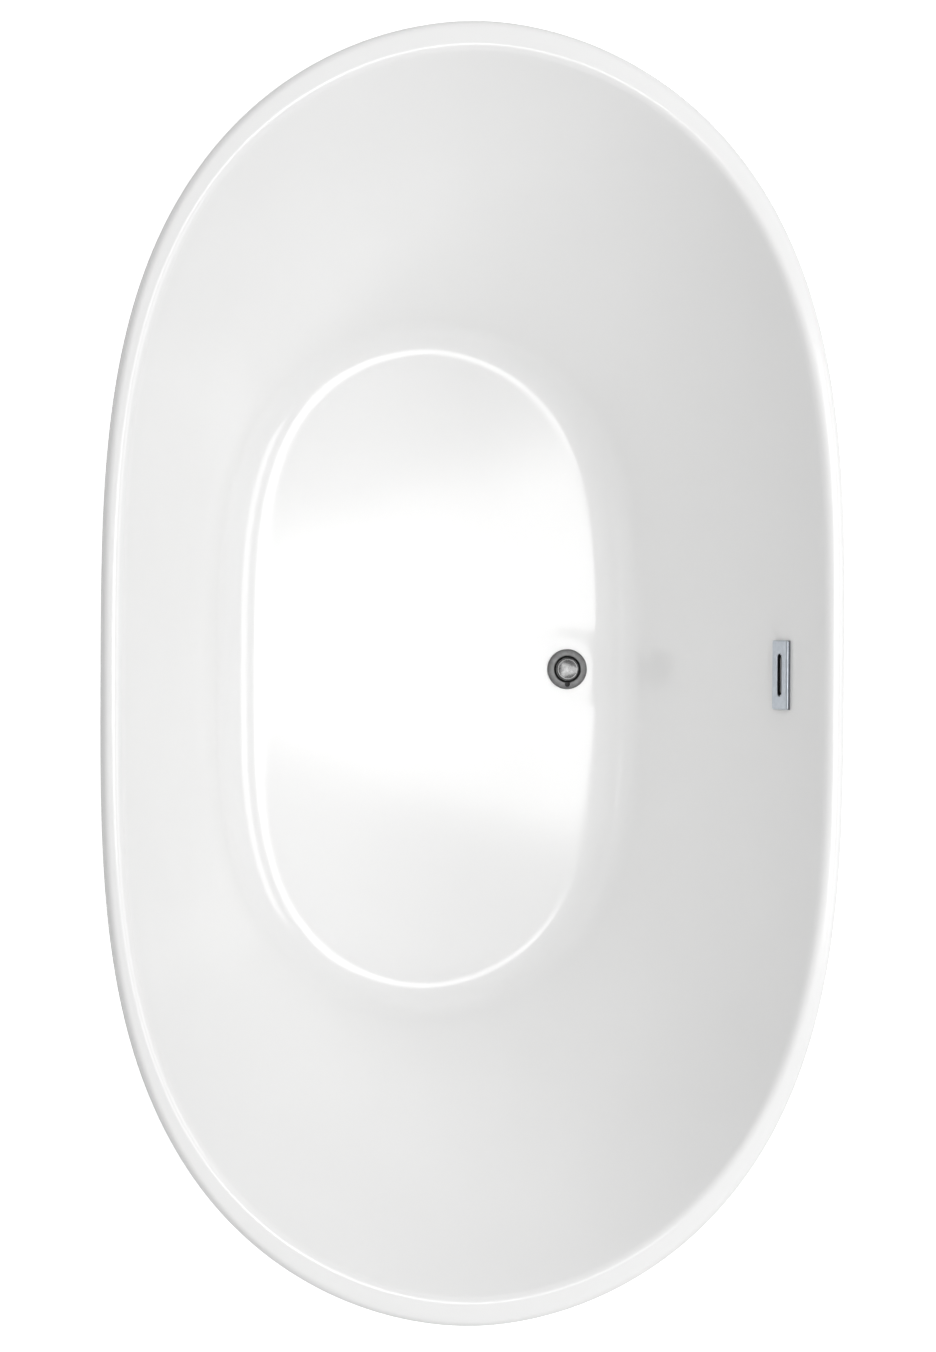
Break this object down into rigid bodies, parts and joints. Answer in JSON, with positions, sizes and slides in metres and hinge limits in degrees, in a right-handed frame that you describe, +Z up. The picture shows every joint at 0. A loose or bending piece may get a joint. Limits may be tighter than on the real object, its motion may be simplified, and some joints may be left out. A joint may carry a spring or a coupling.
{
  "type": "freestanding bathtub",
  "caption": "Oval double-ended freestanding bathtub with a rolled rim, tapered skirt, centre-side toe-touch waste, slotted overflow and levelling feet.",
  "frame": {"origin": "centre of the tub's outline on the floor plane under the feet", "axes": "+X along the tub, +Y towards the side with the waste and the overflow, +Z up"},
  "size_m": [1.537, 0.885, 0.59],
  "materials": {
    "basin_acrylic": "glossy white cast acrylic",
    "skirt_acrylic": "glossy white cast acrylic",
    "fibreglass": "rough sprayed glass fibre and resin",
    "sealant": "white bonding sealant",
    "board": "moisture-proof chipboard",
    "frame_steel": "dark grey powder coat on steel tube",
    "fastener_steel": "zinc-plated steel",
    "foot_rubber": "black rubber",
    "cap_plastic": "black moulded plastic",
    "chrome_trim": "polished chrome",
    "brass": "turned brass",
    "seal_rubber": "soft black rubber",
    "pipe_plastic": "white moulded pipe plastic",
    "hose_plastic": "grey flexible hose"
  },
  "bodies": {
    "tub": {"inner_basin": "basin_acrylic", "outer_skirt": "skirt_acrylic", "basin_reinforcement": "fibreglass", "rim_bond": "sealant", "bond_blocks": "sealant", "floor_board": "board", "rail_left": "frame_steel", "rail_right": "frame_steel", "cross_tube_1": "frame_steel", "cross_tube_2": "frame_steel", "cross_tube_3": "frame_steel", "skirt_bracket_1": "frame_steel", "skirt_bracket_2": "frame_steel", "skirt_bracket_3": "frame_steel", "skirt_bracket_4": "frame_steel", "board_screws": "fastener_steel", "bracket_screws": "fastener_steel", "weld_nuts": "fastener_steel", "lock_nuts": "fastener_steel", "overflow_screws": "fastener_steel", "stopper_spring": "fastener_steel", "hose_clamp_waste": "fastener_steel", "hose_clamp_overflow": "fastener_steel", "tube_caps": "cap_plastic", "overflow_retainer": "cap_plastic", "drain_flange": "chrome_trim", "overflow_cover": "chrome_trim", "stopper_cartridge": "brass", "drain_gasket": "seal_rubber", "drain_washer": "seal_rubber", "slip_washer": "seal_rubber", "overflow_gasket": "seal_rubber", "waste_body": "pipe_plastic", "slip_nut": "pipe_plastic", "tailpiece": "pipe_plastic", "overflow_body": "pipe_plastic", "overflow_hose": "hose_plastic"},
    "stopper": {"stopper_cap": "chrome_trim", "stopper_stem": "brass", "stopper_seal": "seal_rubber"},
    "foot_1": {"foot_pad_1": "foot_rubber", "foot_stud_1": "fastener_steel"},
    "foot_2": {"foot_pad_2": "foot_rubber", "foot_stud_2": "fastener_steel"},
    "foot_3": {"foot_pad_3": "foot_rubber", "foot_stud_3": "fastener_steel"},
    "foot_4": {"foot_pad_4": "foot_rubber", "foot_stud_4": "fastener_steel"},
    "foot_5": {"foot_pad_5": "foot_rubber", "foot_stud_5": "fastener_steel"}
  },
  "joints": [
    {"name": "foot_1_travel", "type": "slide", "parent": "tub", "child": "foot_1", "axis": [0, 0, -1], "range_m": [-0.004, 0.014]},
    {"name": "foot_2_travel", "type": "slide", "parent": "tub", "child": "foot_2", "axis": [0, 0, -1], "range_m": [-0.004, 0.014]},
    {"name": "foot_3_travel", "type": "slide", "parent": "tub", "child": "foot_3", "axis": [0, 0, -1], "range_m": [-0.004, 0.014]},
    {"name": "foot_4_travel", "type": "slide", "parent": "tub", "child": "foot_4", "axis": [0, 0, -1], "range_m": [-0.004, 0.014]},
    {"name": "foot_5_travel", "type": "slide", "parent": "tub", "child": "foot_5", "axis": [0, 0, -1], "range_m": [-0.004, 0.014]},
    {"name": "stopper_lift", "type": "slide", "parent": "tub", "child": "stopper", "axis": [0, 0, 1], "range_m": [0, 0.008], "deforming": ["stopper_spring"]}
  ]
}
